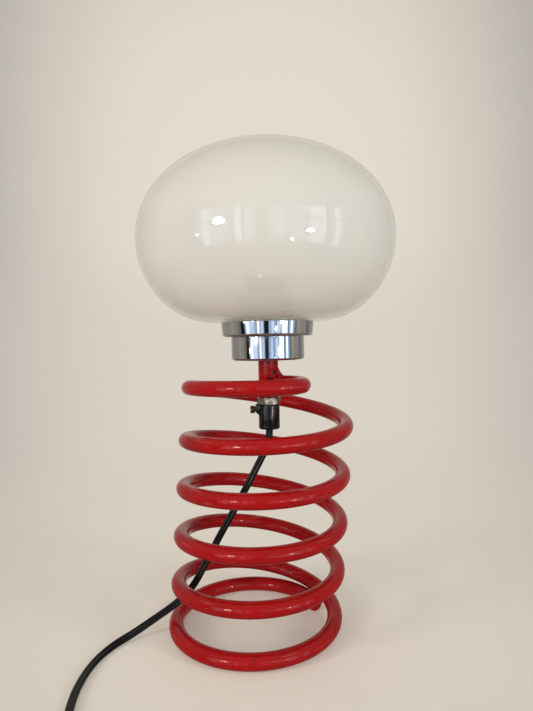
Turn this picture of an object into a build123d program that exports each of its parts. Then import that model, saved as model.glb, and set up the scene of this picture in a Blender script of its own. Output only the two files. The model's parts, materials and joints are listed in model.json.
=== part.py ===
from build123d import *
from math import cos, pi, radians, sin, sqrt, tan
import os

# Table lamp: a round steel bar wound into an open coil carries a globe of milky glass.
# Millimetres. +Z is up, +X is to the right of someone facing the lamp, and they look along +Y.
# The origin is on the floor, on the axis that the post, the chrome cups and the globe share.

# ---- driving dimensions: the coil --------------------------------------------------------
BAR = 10.0              # diameter of the steel bar
COIL_R = 53.3           # radius of the coil, to the bar's centre
PITCH = 31.85           # drop of the coil in one turn
TOP_PITCH = 35.8        # the same, above the front of the first turn
LOOP_RISE = 159.8       # height of the top loop above the foot ring, centre to centre
LOW_FRONT = 31.1        # height above the foot ring where the fourth turn passes the front
LEAN = 4.3              # how far the coil leans towards +X, in degrees
LOOP_R = 21.75          # radius of the U bend that leads the bar to the post
STEPS = 16              # bends that stand for one turn of the bar
U_STEPS = 6             # bends in the U
TAIL_TURN = 5.69        # where the bar ends, in turns from the front of the top loop
TUCK = 8.5              # how far the bar's lower end is drawn inside the turn above it
EASE = 3.0              # height over which the bar levels out at the foot and at the top

# ---- driving dimensions: post and threaded tube ------------------------------------------
CLEAR = 0.03            # radial play of a thread, which is drawn as a plain cylinder
POST_R = 6.7
POST_FOOT = 155.0
POST_TOP = 180.4
THREAD_R = 5.0          # threaded tube, M10
THREAD_BORE = 3.2
THREAD_FOOT = 143.0
THREAD_TOP = 202.9
NUT_FLATS = 14.0
NUT_H = 3.4
WASHER_R = 7.8
WASHER_H = 1.0

# ---- driving dimensions: cups, globe, lampholder and bulb --------------------------------
SHEET = 1.0             # wall of both cups
CUP_R = 24.65           # lower cup
CUP_TOP = 195.9
GALLERY_R = 31.2        # upper ring, which holds the globe
GALLERY_TOP = 206.0
GASKET_H = 1.5
GLOBE_CENTRE = 264.0
# Distance from there to the outside of the glass at elevation a is the sum of these, times
# 1, sin a, cos 2a, sin 3a, cos 4a, sin 5a and cos 6a.
GLOBE_TERMS = (71.39, -0.92, 14.67, -3.75, -1.22, 1.06, 0.36)
GLASS = 2.5
NECK_R = 27.0
SOCKET_R = 18.0         # lampholder
SOCKET_TOP = 225.0
SHELL_R = 13.5          # inner radius of its screw shell
CAP_R = 13.2            # bulb cap
BULB_R = 22.5
BULB_FOOT = 211.9
BULB_MID = 264.0

# ---- driving dimensions: cord grip, cord, switch and plug --------------------------------
GRIP_R = 7.1
GRIP_FOOT = 133.8
GRIP_TOP = 150.6
GRIP_SCREW_Z = 146.9
CORD = 4.8              # width of the twin cord
LYING = CORD / 2        # height of its centre on the floor
ENTRY_Z = 7.5           # height at which it enters the switch
MIN_BEND = 5 * CORD
COIL_AT = (-2.0, -182.0)
COIL_TURN_R = 26.5      # to the middle of the put-away turns
COIL_WRAP = 15.0        # width of their bundle
COIL_H = 10.0           # and its height
TIE_W = 12.0
TIE_THICK = 1.0
SWITCH_AT = (-66.0, -158.0)
SWITCH_HEADING = -50.0  # from +X, the way the cord runs through it
SWITCH_L = 58.0
SWITCH_W = 26.0
SWITCH_H = 15.0
SWITCH_WALL = 2.0
ROCKER_L = 17.2
ROCKER_W = 10.6
ROCKER_TILT = 8.0       # degrees each way from level
RELIEF_AT = (47.5, -183.8)  # where the cord enters the plug's strain relief
RELIEF_L = 22.0
PLUG_HEADING = 65.0
PLUG_L = 35.3
PLUG_W = 26.1
PLUG_H = 13.7
PLUG_Z = PLUG_H / 2     # height of the cord at the plug
PIN_R = 2.0
PIN_L = 19.0
PIN_GAP = 18.6

# Where the cord lies: from the grip to the switch, from there to the coil, and on to the plug.
RUN_POINTS = [
    (0, 0, THREAD_FOOT), (0, 0, 128), (-8.5, -0.5, 111), (-21, -1, 88), (-34.5, -1, 63),
    (-46, -2, 42), (-54, -3, 27.5), (-65.5, -5, 17.8), (-79.5, -9, 10.4), (-92, -16, 4.4),
    (-103, -27, LYING), (-109.5, -45, LYING), (-111, -68, LYING), (-107.5, -92, LYING),
    (-100, -113, 3.2), (-91.5, -127, 5.8), (-84.6, -135.8, ENTRY_Z),
]
MID_POINTS = [(-47.4, -180.2, ENTRY_Z), (-40.5, -188.4, 6.8), (-32.4, -195.2, 6.0)]
TAIL_POINTS = [(7, -212.2, 9.4), (20, -210.2, 9.0), (32.5, -204.6, 7.8), (42, -195.6, PLUG_Z),
               (47.5, -183.8, PLUG_Z)]


# ---- shared shapes -----------------------------------------------------------------------
def turned(outline):
    """Revolve an outline of (radius, height) corners about the lamp's axis."""
    face = make_face(Plane.XZ * Polyline(*outline, close=True))
    return revolve(face, Axis.Z)


def rod(radius, foot, head):
    """A round bar on the lamp's axis."""
    return Pos(0, 0, foot) * extrude(Circle(radius), head - foot)


def ring(outer, inner, foot, head):
    """A straight tube on the lamp's axis."""
    return Pos(0, 0, foot) * extrude(Circle(outer) - Circle(inner), head - foot)


def hex_nut(foot, turn):
    """A nut on the threaded tube, with its six corners chamfered top and bottom."""
    corner = NUT_FLATS / sqrt(3)
    chamfer = (corner - NUT_FLATS / 2) / 2
    body = extrude(RegularPolygon(corner, 6), NUT_H)
    crown = turned([(THREAD_R + CLEAR, 0), (corner - chamfer, 0), (corner, chamfer),
                    (corner, NUT_H - chamfer), (corner - chamfer, NUT_H), (THREAD_R + CLEAR, NUT_H)])
    return Pos(0, 0, foot) * Rot(0, 0, turn) * (body & crown)


def tube(points, diameter, share=0.45):
    """A round bar or cord along a route of straight runs joined by arcs, each arc as large as
    its two runs allow. Gives the solid, the length of its path and its smallest radius."""
    places = [Vector(*point) for point in points]
    radii = []
    for before, here, after in zip(places, places[1:], places[2:]):
        half_turn = radians((here - before).get_angle(after - here)) / 2
        radii.append(share * min((here - before).length, (after - here).length) / tan(half_turn))
    path = FilletPolyline(*places, radius=radii)
    start = Plane(origin=path @ 0, z_dir=path % 0)
    return sweep(start * Circle(diameter / 2), path=path), path.length, min(radii)


# ---- the coil ----------------------------------------------------------------------------
def level_out(height):
    """Height, eased so that it comes down onto zero and stays there."""
    if height >= EASE:
        return height
    if height <= -EASE:
        return 0.0
    return (height + EASE) ** 2 / (4 * EASE)


def bar_point(turn):
    """A corner of the bar's route. Turn 0 is the front of the top loop, and the bar winds down
    clockwise as seen from above."""
    angle = radians(-90 - 360 * turn)
    slope = TOP_PITCH if turn < 1 else PITCH
    rise = LOW_FRONT + 3 * PITCH + (1 - turn) * slope - COIL_R * sin(radians(LEAN)) * cos(angle)
    rise = LOOP_RISE - level_out(LOOP_RISE - level_out(rise))
    opened = sin(min(1.0, turn / 0.25) * pi / 2)
    radius = 2 * LOOP_R + (COIL_R - 2 * LOOP_R) * opened
    radius -= TUCK * max(0.0, (turn - 5.3) / (TAIL_TURN - 5.3)) ** 2
    corner = radius / cos(pi / STEPS)
    middle = (rise - LOOP_RISE) * tan(radians(LEAN))
    return middle + corner * cos(angle), corner * sin(angle), BAR / 2 + rise


def bar_route():
    """The U bend at the post, the coil and the foot ring, as one list of corners."""
    top = BAR / 2 + LOOP_RISE
    half_step = pi / U_STEPS / 2
    corner = LOOP_R / cos(half_step)
    route = [(0, 0, top)]
    for step in range(U_STEPS):
        angle = pi / 2 - half_step * (2 * step + 1)
        route.append((corner * cos(angle), corner * sin(angle) - LOOP_R, top))
    count = round(TAIL_TURN * STEPS)
    route += [bar_point(TAIL_TURN * (step + 0.5) / (count + 0.5)) for step in range(count + 1)]
    return route


def coil_base():
    """The whole bar in one piece. Its upper end is cut to the round of the post."""
    bar, length, bend = tube(bar_route(), BAR, share=0.49)
    print(f"bar length {length:.0f}, smallest bend {bend:.1f}")
    return bar - rod(POST_R, POST_FOOT, POST_TOP)


def top_weld(bar):
    """The bead where the bar meets the post."""
    bead = Pos(POST_R - 0.6, -1.2, BAR / 2 + LOOP_RISE + 0.6) * Sphere(8.2)
    return bead - rod(POST_R, POST_FOOT, POST_TOP) - bar


def foot_weld(bar):
    """The bead that joins the bar's lower end to the turn above it."""
    end = Vector(*bar_point(TAIL_TURN - 0.03))
    above = Vector(*bar_point(TAIL_TURN - 1.02))
    spot = end + (above - end) * 0.5
    return Pos(spot.X, spot.Y, spot.Z) * Sphere(4.6) - bar


# ---- post, threaded tube and their fixings -----------------------------------------------
def chrome_cup():
    """Lower cup: a pressed bowl with a rounded edge, open at the top."""
    edge = 1.4
    bowl = fillet(rod(CUP_R, POST_TOP, CUP_TOP).edges().group_by(Axis.Z)[0], edge)
    inside = rod(CUP_R - SHEET, POST_TOP + SHEET, CUP_TOP + SHEET)
    inside = fillet(inside.edges().group_by(Axis.Z)[0], edge - SHEET)
    return bowl - inside - rod(THREAD_R + CLEAR, POST_TOP, CUP_TOP)


def gallery_ring():
    """Upper ring: a shallow dish whose wall opens out a little and has a rolled lip."""
    flare = 0.5
    foot_r = GALLERY_R - flare
    dish = turned([(THREAD_R + CLEAR, CUP_TOP), (foot_r - 1.2, CUP_TOP), (foot_r, CUP_TOP + 1.2),
                   (GALLERY_R, GALLERY_TOP - 1.0), (GALLERY_R, GALLERY_TOP),
                   (GALLERY_R - 1.4, GALLERY_TOP), (GALLERY_R - 1.4, GALLERY_TOP - 1.0),
                   (foot_r - SHEET, CUP_TOP + 1.6), (foot_r - SHEET - 0.6, CUP_TOP + SHEET),
                   (THREAD_R + CLEAR, CUP_TOP + SHEET)])
    return fillet(dish.edges().group_by(Axis.Z)[-1], 0.4)


# ---- globe -------------------------------------------------------------------------------
def globe_point(angle, inset):
    """A point of the glass, as (radius, height), at an elevation from the globe's centre."""
    out = sum(term * (sin if k % 2 else cos)(k * angle) for k, term in enumerate(GLOBE_TERMS)) - inset
    return out * cos(angle), GLOBE_CENTRE + out * sin(angle)


def globe_solid(inset, foot):
    """The filled shape of the globe and its neck, smaller all round by inset."""
    neck_r = NECK_R - inset
    lowest = radians(-75)
    while globe_point(lowest, inset)[0] < neck_r:
        lowest += 0.001
    steps = 32
    points = [globe_point(lowest + (pi / 2 - lowest) * step / steps, inset) for step in range(steps)]
    top = (0, globe_point(pi / 2, inset)[1])
    outline = Spline(*points, top, tangents=[(1, -0.2), (-1, 0)])
    rest = Polyline(top, (0, foot), (neck_r, foot), points[0])
    return revolve(make_face(Plane.XZ * (outline + rest)), Axis.Z)


def globe():
    """Blown glass with a straight neck that stands in the gallery ring."""
    foot = CUP_TOP + SHEET + GASKET_H
    return globe_solid(0, foot) - globe_solid(GLASS, foot)


# ---- lampholder and bulb -----------------------------------------------------------------
def socket_base(foot):
    """Screws onto the threaded tube and carries the rest of the lampholder."""
    return turned([(THREAD_R + CLEAR, foot), (SOCKET_R - 2, foot), (SOCKET_R - 1, foot + 4),
                   (SOCKET_R - 1, foot + 12), (SOCKET_R - 3, foot + 12), (SOCKET_R - 3, foot + 3),
                   (THREAD_R + CLEAR, foot + 3)])


def socket_skirt(foot):
    """Outer sleeve of the lampholder, ribbed so that it can be gripped."""
    sleeve = ring(SOCKET_R, SHELL_R + 1.4, foot, SOCKET_TOP)
    groove = Pos(SOCKET_R, 0, foot + 2) * extrude(Circle(0.6), SOCKET_TOP - foot - 4)
    for step in range(24):
        sleeve -= Rot(0, 0, 15 * step) * groove
    return sleeve


def bulb_cap():
    """Screw cap with its rolled thread drawn as rounded ridges."""
    ridge = 0.45
    lead = 3.6
    foot = BULB_FOOT + 5.0
    outline = [(6.0, foot - 1.0), (CAP_R - 2.4, foot - 1.0), (CAP_R - ridge, foot + 1.0)]
    for step in range(4):
        base = foot + 1.6 + lead * step
        outline += [(CAP_R - 2 * ridge, base), (CAP_R, base + lead / 2)]
    top = foot + 1.6 + lead * 4
    outline += [(CAP_R - 2 * ridge, top), (CAP_R, top + 1.0), (CAP_R, top + 4.0), (6.0, top + 4.0)]
    return turned(outline), top + 4.0


def bulb_solid(foot, inset):
    """The filled shape of the bulb's glass, smaller all round by inset."""
    neck_r = CAP_R - 0.8 - inset
    waist_r = neck_r + 1.5
    ball_r = BULB_R - inset
    meet = BULB_MID - sqrt(ball_r ** 2 - waist_r ** 2)
    top = BULB_MID + ball_r
    neck = Polyline((0, top), (0, foot), (neck_r, foot), (neck_r, meet - 4), (waist_r, meet))
    ball = ThreePointArc((waist_r, meet), (ball_r, BULB_MID), (0, top))
    return revolve(make_face(Plane.XZ * (neck + ball)), Axis.Z)


def bulb_glass(foot):
    """Round bulb of thin white glass on a short neck."""
    return bulb_solid(foot, 0) - bulb_solid(foot + 0.9, 0.9)


# ---- cord grip ---------------------------------------------------------------------------
def grip_body():
    """Threaded onto the foot of the tube, with a boss for the screw that locks it."""
    body = turned([(0, GRIP_FOOT), (GRIP_R - 0.5, GRIP_FOOT), (GRIP_R + 0.15, GRIP_FOOT + 0.6),
                   (GRIP_R, GRIP_FOOT + 2.0), (GRIP_R, GRIP_TOP), (0, GRIP_TOP)])
    boss = make_face(Plane.XZ * Polyline((-3, GRIP_TOP), (-9.3, GRIP_TOP), (-9.3, GRIP_SCREW_Z - 1.4),
                                         (-GRIP_R, GRIP_TOP - 7.6), (-3, GRIP_TOP - 7.6), close=True))
    body += extrude(boss, 4, both=True)
    body -= rod(THREAD_R + CLEAR, THREAD_FOOT, GRIP_TOP)
    body -= rod(CORD / 2 + 0.2, GRIP_FOOT, THREAD_FOOT)
    return body - grip_screw_shank(1.5 + CLEAR)


def grip_screw_shank(radius):
    """The threaded part of the locking screw, from its head to the threaded tube."""
    return Pos(-9.6, 0, GRIP_SCREW_Z) * Rot(0, 90, 0) * extrude(Circle(radius), 9.6 - THREAD_R - CLEAR)


def grip_screw():
    """Cheese-head screw with a slot, pointing at the lamp's axis."""
    head_r = 2.5
    head = Pos(-12.7, 0, GRIP_SCREW_Z) * Rot(0, 90, 0) * extrude(Circle(head_r), 3.1)
    head = fillet(head.edges().group_by(Axis.X)[0], 0.5)
    slot = Pos(-12.7, 0, GRIP_SCREW_Z) * Box(1.8, 2 * head_r, 0.8)
    return head - slot + grip_screw_shank(1.5)


# ---- switch, plug and coil of cord -------------------------------------------------------
def switch_place(height=0.0):
    return Pos(SWITCH_AT[0], SWITCH_AT[1], height) * Rot(0, 0, SWITCH_HEADING)


def switch_shells():
    """Upper and lower half of the switch's case, with a hole at each end for the cord, a window
    and two bearings for the rocker, and two screw holes."""
    outer = extrude(SlotOverall(SWITCH_L, SWITCH_W), SWITCH_H)
    outer = fillet(outer.edges().group_by(Axis.Z)[0] + outer.edges().group_by(Axis.Z)[-1], 2.5)
    case = outer - Pos(0, 0, SWITCH_H / 2) * Box(ROCKER_L + 6, ROCKER_W + 1, SWITCH_H - 2 * SWITCH_WALL)
    case -= Pos(0, 0, ENTRY_Z) * Rot(0, 90, 0) * Cylinder(CORD / 2 + 0.1, SWITCH_L)
    case -= Pos(0, 0, SWITCH_H) * Box(ROCKER_L + 1.0, ROCKER_W + 0.4, 2 * SWITCH_WALL + 2)
    case -= Pos(0, 0, rocker_axle_z()) * Rot(90, 0, 0) * Cylinder(1.2 + 0.05, ROCKER_W + 3.4)
    for side in (-1, 1):
        case -= switch_screw_at(side, 1.5 + CLEAR, 2.6 + 0.1)
    lower = case & Pos(0, 0, SWITCH_H / 4) * Box(SWITCH_L, SWITCH_W, SWITCH_H / 2)
    upper = case & Pos(0, 0, 3 * SWITCH_H / 4) * Box(SWITCH_L, SWITCH_W, SWITCH_H / 2)
    return upper, lower


def rocker_axle_z():
    return SWITCH_H - 2.4


def switch_screw_at(side, shank_r, head_r):
    """A screw that comes up from below, sunk into the lower half."""
    spot = Pos(side * (SWITCH_L / 2 - 9), -side * 7.0, 0)
    return spot * (Pos(0, 0, 0.6) * extrude(Circle(head_r), 1.8) + extrude(Circle(shank_r), 11.0))


def rocker():
    """The switch's key: two gently sloping faces over an axle, at rest with one end down."""
    half = ROCKER_L / 2
    side = Polyline((-half, 2.6), (0, 1.7), (half, 2.6), (half, -0.6), (2.2, -2.2), (-2.2, -2.2),
                    (-half, -0.6), close=True)
    key = extrude(make_face(Plane.XZ * side), ROCKER_W / 2, both=True)
    key = fillet(key.edges().filter_by(Axis.Y).group_by(Axis.Z)[-1], 0.5)
    key += Rot(90, 0, 0) * Cylinder(1.2, ROCKER_W + 2.8)
    return Pos(0, 0, rocker_axle_z()) * Rot(0, ROCKER_TILT, 0) * key


def plug_place():
    """Where the plug's body starts, at the end of its strain relief."""
    return Pos(RELIEF_AT[0], RELIEF_AT[1], PLUG_Z) * Rot(0, 0, PLUG_HEADING) * Pos(RELIEF_L, 0, 0)


def plug_relief():
    """Tapered sleeve with grooves round it, which keeps the cord from kinking at the plug."""
    tip_r = 2.9
    root_r = 4.0
    outline = [(0, -RELIEF_L), (tip_r, -RELIEF_L)]
    for step in range(4):
        z = 4.5 * step + 3 - RELIEF_L
        outer = tip_r + (root_r - tip_r) * (z + RELIEF_L) / RELIEF_L
        outline += [(outer, z), (outer - 0.6, z + 0.5), (outer - 0.6, z + 1.7), (outer, z + 2.2)]
    outline += [(root_r, 0), (0, 0)]
    return Rot(0, 90, 0) * turned(outline)


def plug_body():
    """Flat two-pin plug: a waisted grip behind a broad face."""
    half = PLUG_W / 2
    outline = Polyline((0, 4.2), (2, 5.0), (11, 6.2), (19, half - 2.5), (24, half), (PLUG_L, half),
                       (PLUG_L, -half), (24, -half), (19, 2.5 - half), (11, -6.2), (2, -5.0),
                       (0, -4.2), close=True)
    body = extrude(make_face(outline), PLUG_H / 2, both=True)
    body = chamfer(body.edges().group_by(Axis.Z)[0] + body.edges().group_by(Axis.Z)[-1], 1.2)
    for side in (-1, 1):
        body -= Pos(PLUG_L - 8, side * PIN_GAP / 2, 0) * Rot(0, 90, 0) * extrude(Circle(1.43), 8)
    return body


def plug_pin(side):
    """A pin with a rounded tip and a thinner root inside the plug."""
    pin = Pos(PLUG_L, 0, 0) * Rot(0, 90, 0) * extrude(Circle(PIN_R), PIN_L)
    pin = fillet(pin.edges().group_by(Axis.X)[-1], 1.5)
    pin += Pos(PLUG_L - 8, 0, 0) * Rot(0, 90, 0) * extrude(Circle(1.4), 8)
    return Pos(0, side * PIN_GAP / 2, 0) * pin


def bundle(grow, radius_of_corner):
    """The ring-shaped outline of the put-away turns, larger all round by grow."""
    section = RectangleRounded(COIL_WRAP + 2 * grow, COIL_H + 2 * grow, radius_of_corner)
    section = Plane.XZ * Pos(COIL_TURN_R, COIL_H / 2) * section
    return Pos(COIL_AT[0], COIL_AT[1], 0) * revolve(section, Axis.Z)


def cord_coil_and_tie():
    """The put-away turns as one solid, drawn in where a strap holds them."""
    strap_zone = Pos(COIL_AT[0], COIL_AT[1] + COIL_TURN_R, COIL_H / 2) * Box(TIE_W, 30, 40)
    squeezed = bundle(-TIE_THICK, 2.6) & strap_zone
    strap = (bundle(0, 3.6) & strap_zone) - squeezed
    return (bundle(0, 3.6) - strap_zone) + squeezed, strap


# ---- the whole lamp ----------------------------------------------------------------------
def cords():
    """The free stretches of the cord, each as a plain tube."""
    made = {}
    for name, points in (("cord_run", RUN_POINTS), ("cord_mid", MID_POINTS), ("cord_tail", TAIL_POINTS)):
        solid, length, bend = tube(points, CORD)
        share = solid.volume / (pi * CORD ** 2 / 4 * length)
        print(f"{name} length {length:.0f}, smallest bend {bend:.1f} of {MIN_BEND:.0f}, volume {share:.4f}")
        made[name] = solid
    return made


def build():
    """Every piece of the lamp, by node name."""
    washer_foot = POST_FOOT - WASHER_H
    holder_foot = CUP_TOP + SHEET + NUT_H
    core_foot = holder_foot + 8.0
    cap, cap_top = bulb_cap()
    bar = coil_base()
    upper, lower = switch_shells()
    coil, tie = cord_coil_and_tie()
    parts = {
        "coil_base": bar,
        "top_weld": top_weld(bar),
        "foot_weld": foot_weld(bar),
        "post_sleeve": ring(POST_R, THREAD_R + CLEAR, POST_FOOT, POST_TOP),
        "threaded_tube": ring(THREAD_R, THREAD_BORE, THREAD_FOOT, THREAD_TOP),
        "lower_washer": ring(WASHER_R, THREAD_R + CLEAR, washer_foot, POST_FOOT),
        "lower_nut": hex_nut(washer_foot - NUT_H, 10),
        "chrome_cup": chrome_cup(),
        "gallery_ring": gallery_ring(),
        "inner_nut": hex_nut(CUP_TOP + SHEET, 0),
        "neck_gasket": ring(GALLERY_R - 3.0, NECK_R - 4.5, CUP_TOP + SHEET, CUP_TOP + SHEET + GASKET_H),
        "globe": globe(),
        "socket_base": socket_base(holder_foot),
        "socket_skirt": socket_skirt(holder_foot + 12),
        "socket_core": ring(SOCKET_R - 3.2, 1.0, core_foot, core_foot + 2.6),
        "screw_shell": ring(SHELL_R + 0.5, SHELL_R, core_foot + 2.6, SOCKET_TOP - 1.5),
        "centre_contact": rod(3.0, core_foot + 2.6, BULB_FOOT - 0.2),
        "bulb_contact": rod(4.5, BULB_FOOT, BULB_FOOT + 1.0),
        "bulb_insulator": turned([(0, BULB_FOOT + 1.0), (4.5, BULB_FOOT + 1.0), (10.0, BULB_FOOT + 4.0),
                                  (6.0, BULB_FOOT + 4.0), (6.0, cap_top - 2), (0, cap_top - 2)]),
        "bulb_cap": cap,
        "bulb_glass": bulb_glass(cap_top),
        "grip_body": grip_body(),
        "grip_screw": grip_screw(),
        "switch_upper": switch_place() * upper,
        "switch_lower": switch_place() * lower,
        "switch_rocker": switch_place() * rocker(),
        "plug_body": plug_place() * plug_body(),
        "plug_relief": plug_place() * plug_relief(),
        "cord_coil": coil,
        "cord_tie": tie,
    }
    for name, side in (("left", -1), ("right", 1)):
        wire = Pos(side * 1.3, 0, THREAD_FOOT) * extrude(Circle(1.1), core_foot - THREAD_FOOT)
        parts[f"wire_{name}"] = wire
        parts[f"plug_pin_{name}"] = plug_place() * plug_pin(side)
        parts[f"switch_screw_{name}"] = switch_place() * switch_screw_at(side, 1.5, 2.6)
    parts.update(cords())
    return parts


def main():
    os.makedirs("parts", exist_ok=True)
    for name, shape in build().items():
        export_step(shape, f"parts/{name}.step")


main()
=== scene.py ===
import bmesh
import bpy
import json
import random
from math import acos, cos, degrees, pi, radians, sin, sqrt, tan
from mathutils import Matrix, Vector

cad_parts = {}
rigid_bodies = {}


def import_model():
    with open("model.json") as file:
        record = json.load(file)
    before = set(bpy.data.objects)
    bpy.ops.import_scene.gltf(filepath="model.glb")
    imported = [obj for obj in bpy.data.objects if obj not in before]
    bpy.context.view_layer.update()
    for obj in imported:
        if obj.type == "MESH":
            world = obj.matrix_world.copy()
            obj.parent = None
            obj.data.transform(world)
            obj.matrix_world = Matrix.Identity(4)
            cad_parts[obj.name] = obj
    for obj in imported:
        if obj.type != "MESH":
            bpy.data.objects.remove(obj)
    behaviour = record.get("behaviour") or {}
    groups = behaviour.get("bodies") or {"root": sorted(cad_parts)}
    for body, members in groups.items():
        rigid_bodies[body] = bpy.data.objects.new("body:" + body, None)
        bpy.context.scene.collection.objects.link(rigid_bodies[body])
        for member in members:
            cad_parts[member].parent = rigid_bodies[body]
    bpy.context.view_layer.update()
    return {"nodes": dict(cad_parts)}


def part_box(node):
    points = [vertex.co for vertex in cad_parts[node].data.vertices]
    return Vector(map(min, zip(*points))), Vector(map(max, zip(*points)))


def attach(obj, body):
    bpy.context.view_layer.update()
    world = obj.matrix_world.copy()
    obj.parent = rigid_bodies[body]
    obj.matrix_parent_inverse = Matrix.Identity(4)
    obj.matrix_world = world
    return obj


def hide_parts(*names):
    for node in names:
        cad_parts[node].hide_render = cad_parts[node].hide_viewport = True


# Looks of the table lamp. Metres, in the frame of the CAD model: the origin is on the floor, under
# the post, +Z is up, +X is to the right and the camera looks along +Y.

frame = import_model()
nodes = frame["nodes"]

MM = 0.001
RED = (0.335, 0.0046, 0.0055)
MILK = (0.93, 0.92, 0.89)
# Painted shade in the blowhole and the pits of the top weld: place and size in millimetres.
WELD_PIT_SHADE = [(3.6, -5.9, 172.0, 1.3), (-0.2, -6.8, 168.2, 0.8), (1.2, -6.8, 168.0, 0.8), (5.8, -5.2, 169.4, 0.9)]
FINE = 96               # sides of a turned piece

# ---- camera, as the lamp was seen --------------------------------------------------------
LENS = 27.5             # millimetres on a 36 mm frame
CAMERA_AIM = 0.1838     # height of the point on the post's axis that it looks past
CAMERA_DISTANCE = 0.3665
CAMERA_SIDE = 0.0010    # how far it stands to the left of that point
CAMERA_RISE = 0.0006    # and how far below it, before it is tilted
CAMERA_PITCH = 1.46     # degrees, looking down
CAMERA_ROLL = -1.2      # degrees

# ---- room and backdrop -------------------------------------------------------------------
HORIZON = (0.70, 0.645, 0.56)       # backdrop where the floor fades into it
BACKDROP_NEAR = (0.77, 0.715, 0.62)
BACKDROP_FAR = (0.53, 0.49, 0.43)
SIDE_SHADE = (0.74, 0.75, 0.78)     # how much darker it is at the sides of the view
FLOOR_COLOUR = (0.88, 0.83, 0.75)
ROOM_LOW = (0.20, 0.18, 0.155)
BOUNCE = (0.58, 0.54, 0.48)         # soft light that comes back up from the table
ROOM_HIGH = (0.50, 0.48, 0.44)
WALL_GREY = (0.34, 0.32, 0.285)
CUPBOARD = (0.21, 0.20, 0.185)
DOOR = (0.42, 0.40, 0.33)
PANE = (0.85, 1.05, 1.35)
DIM_PANE = (0.42, 0.62, 0.92)
GLARE = (1.95, 2.15, 2.45)
GAP = (0.015, 0.012, 0.010)
# Heights in the room, as sines of the angle above level.
CROSSBAR = 0.11
WINDOW_FOOT = -0.30
WINDOW_TOP = 0.32
WINDOW_EDGE = 0.04
# The backdrop darkens between these, as cosines of the angle away from straight ahead.
SIDE_START = 0.99
SIDE_END = 0.86
# The floor takes on the backdrop's colour between these distances from the lamp, in metres. The first is
# below zero, so it has some of that colour right under the lamp, where this glow is painted light that
# lightens the lamp's shadow.
FADE_START = -0.4
FADE_END = 0.95
# What the room holds at each bearing from the point behind the camera, in degrees, going right.
ROOM = [
    (-180, WALL_GREY), (-104, DOOR), (-92, WALL_GREY), (-78, CUPBOARD), (-69, GAP),
    (-59, DIM_PANE), (-54, GLARE), (-47, PANE), (-33, DIM_PANE), (-28, GAP), (-26, GLARE),
    (-20, WALL_GREY), (-17, PANE), (-12, DIM_PANE), (-9, GAP), (2, DIM_PANE), (9, PANE),
    (15, DIM_PANE), (21, GAP), (22, PANE), (31, DIM_PANE), (36, GLARE), (50, GAP), (53, DIM_PANE),
    (58, GLARE), (64, DIM_PANE), (69, CUPBOARD), (76, DOOR), (88, WALL_GREY), (110, CUPBOARD),
    (124, WALL_GREY),
]

# ---- the bar, as in the CAD model --------------------------------------------------------
BAR_R = 5.0 * MM
COIL_R = 53.3 * MM
PITCH = 31.85 * MM
TOP_PITCH = 35.8 * MM
LOOP_RISE = 159.8 * MM
LOW_FRONT = 31.1 * MM
LEAN = radians(4.3)
LOOP_R = 21.75 * MM
TAIL_TURN = 5.69
TUCK = 8.5 * MM
EASE = 3.0 * MM

# ---- post, globe and grip, as in the CAD model -------------------------------------------
POST_R = 6.7 * MM
BORE = 5.03 * MM        # of whatever sits on the threaded tube
GLOBE_CENTRE = 264.0 * MM
# Distance from there to the outside of the glass at elevation a is the sum of these, times
# 1, sin a, cos 2a, sin 3a, cos 4a, sin 5a and cos 6a.
GLOBE_TERMS = (71.39 * MM, -0.92 * MM, 14.67 * MM, -3.75 * MM, -1.22 * MM, 1.06 * MM, 0.36 * MM)
GLASS = 2.5 * MM
NECK_R = 27.0 * MM
GRIP_R = 7.1 * MM

# ---- the cord ----------------------------------------------------------------------------
CORD = 4.8 * MM         # width of the twin cord
CORD_THICK = 2.7 * MM
LYING = CORD_THICK / 2 + 0.25 * MM
TWIST_FROM = 130 * MM   # it turns from upright to flat between these lengths from the grip
TWIST_TO = 235 * MM
COIL_AT = (-2.0 * MM, -182.0 * MM)
COIL_TURN_R = 26.5 * MM
PLUG_HEADING = 65.0

# The route's points, in millimetres: grip to switch, switch to coil, and coil to plug.
RUN_POINTS = [
    (0, 0, 134), (0, 0, 125), (-8.5, -0.5, 109), (-21, -1, 86), (-34.5, -1, 63),
    (-46, -2, 42), (-54, -3, 27.5), (-65.5, -5, 17.3), (-79.5, -9, 9.4), (-92, -16, 3.6),
    (-103, -27, 1.7), (-109.5, -45, 1.6), (-111, -68, 1.6), (-107.5, -92, 1.6),
    (-100, -113, 2.2), (-91.5, -127, 5.4), (-84.6, -135.8, 7.5), (-66, -158, 7.5),
]
MID_POINTS = [(-47.4, -180.2, 7.5), (-40.5, -188.4, 6.8)]
TAIL_POINTS = [(9, -213.6, 10.2), (20, -210.2, 8.6), (32.5, -204.6, 7.4), (42, -195.6, 6.85),
               (47.5, -183.8, 6.85)]


# ---- meshes ------------------------------------------------------------------------------
def piece(name, verts, faces, body, sharp=35.0):
    """A mesh object that rides on a body. Its faces are smooth except across sharp edges."""
    mesh = bpy.data.meshes.new(name)
    mesh.from_pydata([tuple(v) for v in verts], [], faces)
    mesh.validate()
    mesh.shade_smooth()
    mesh.set_sharp_from_angle(angle=radians(sharp))
    obj = bpy.data.objects.new(name, mesh)
    bpy.context.scene.collection.objects.link(obj)
    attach(obj, body)
    return obj


def grid_faces(rows, columns, wrap_rows=False):
    """Quads of a grid of points, listed row by row. Each row is a closed ring."""
    faces = []
    for r in range(rows if wrap_rows else rows - 1):
        for c in range(columns):
            r2, c2 = (r + 1) % rows, (c + 1) % columns
            faces.append((r * columns + c, r * columns + c2, r2 * columns + c2, r2 * columns + c))
    return faces


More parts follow.
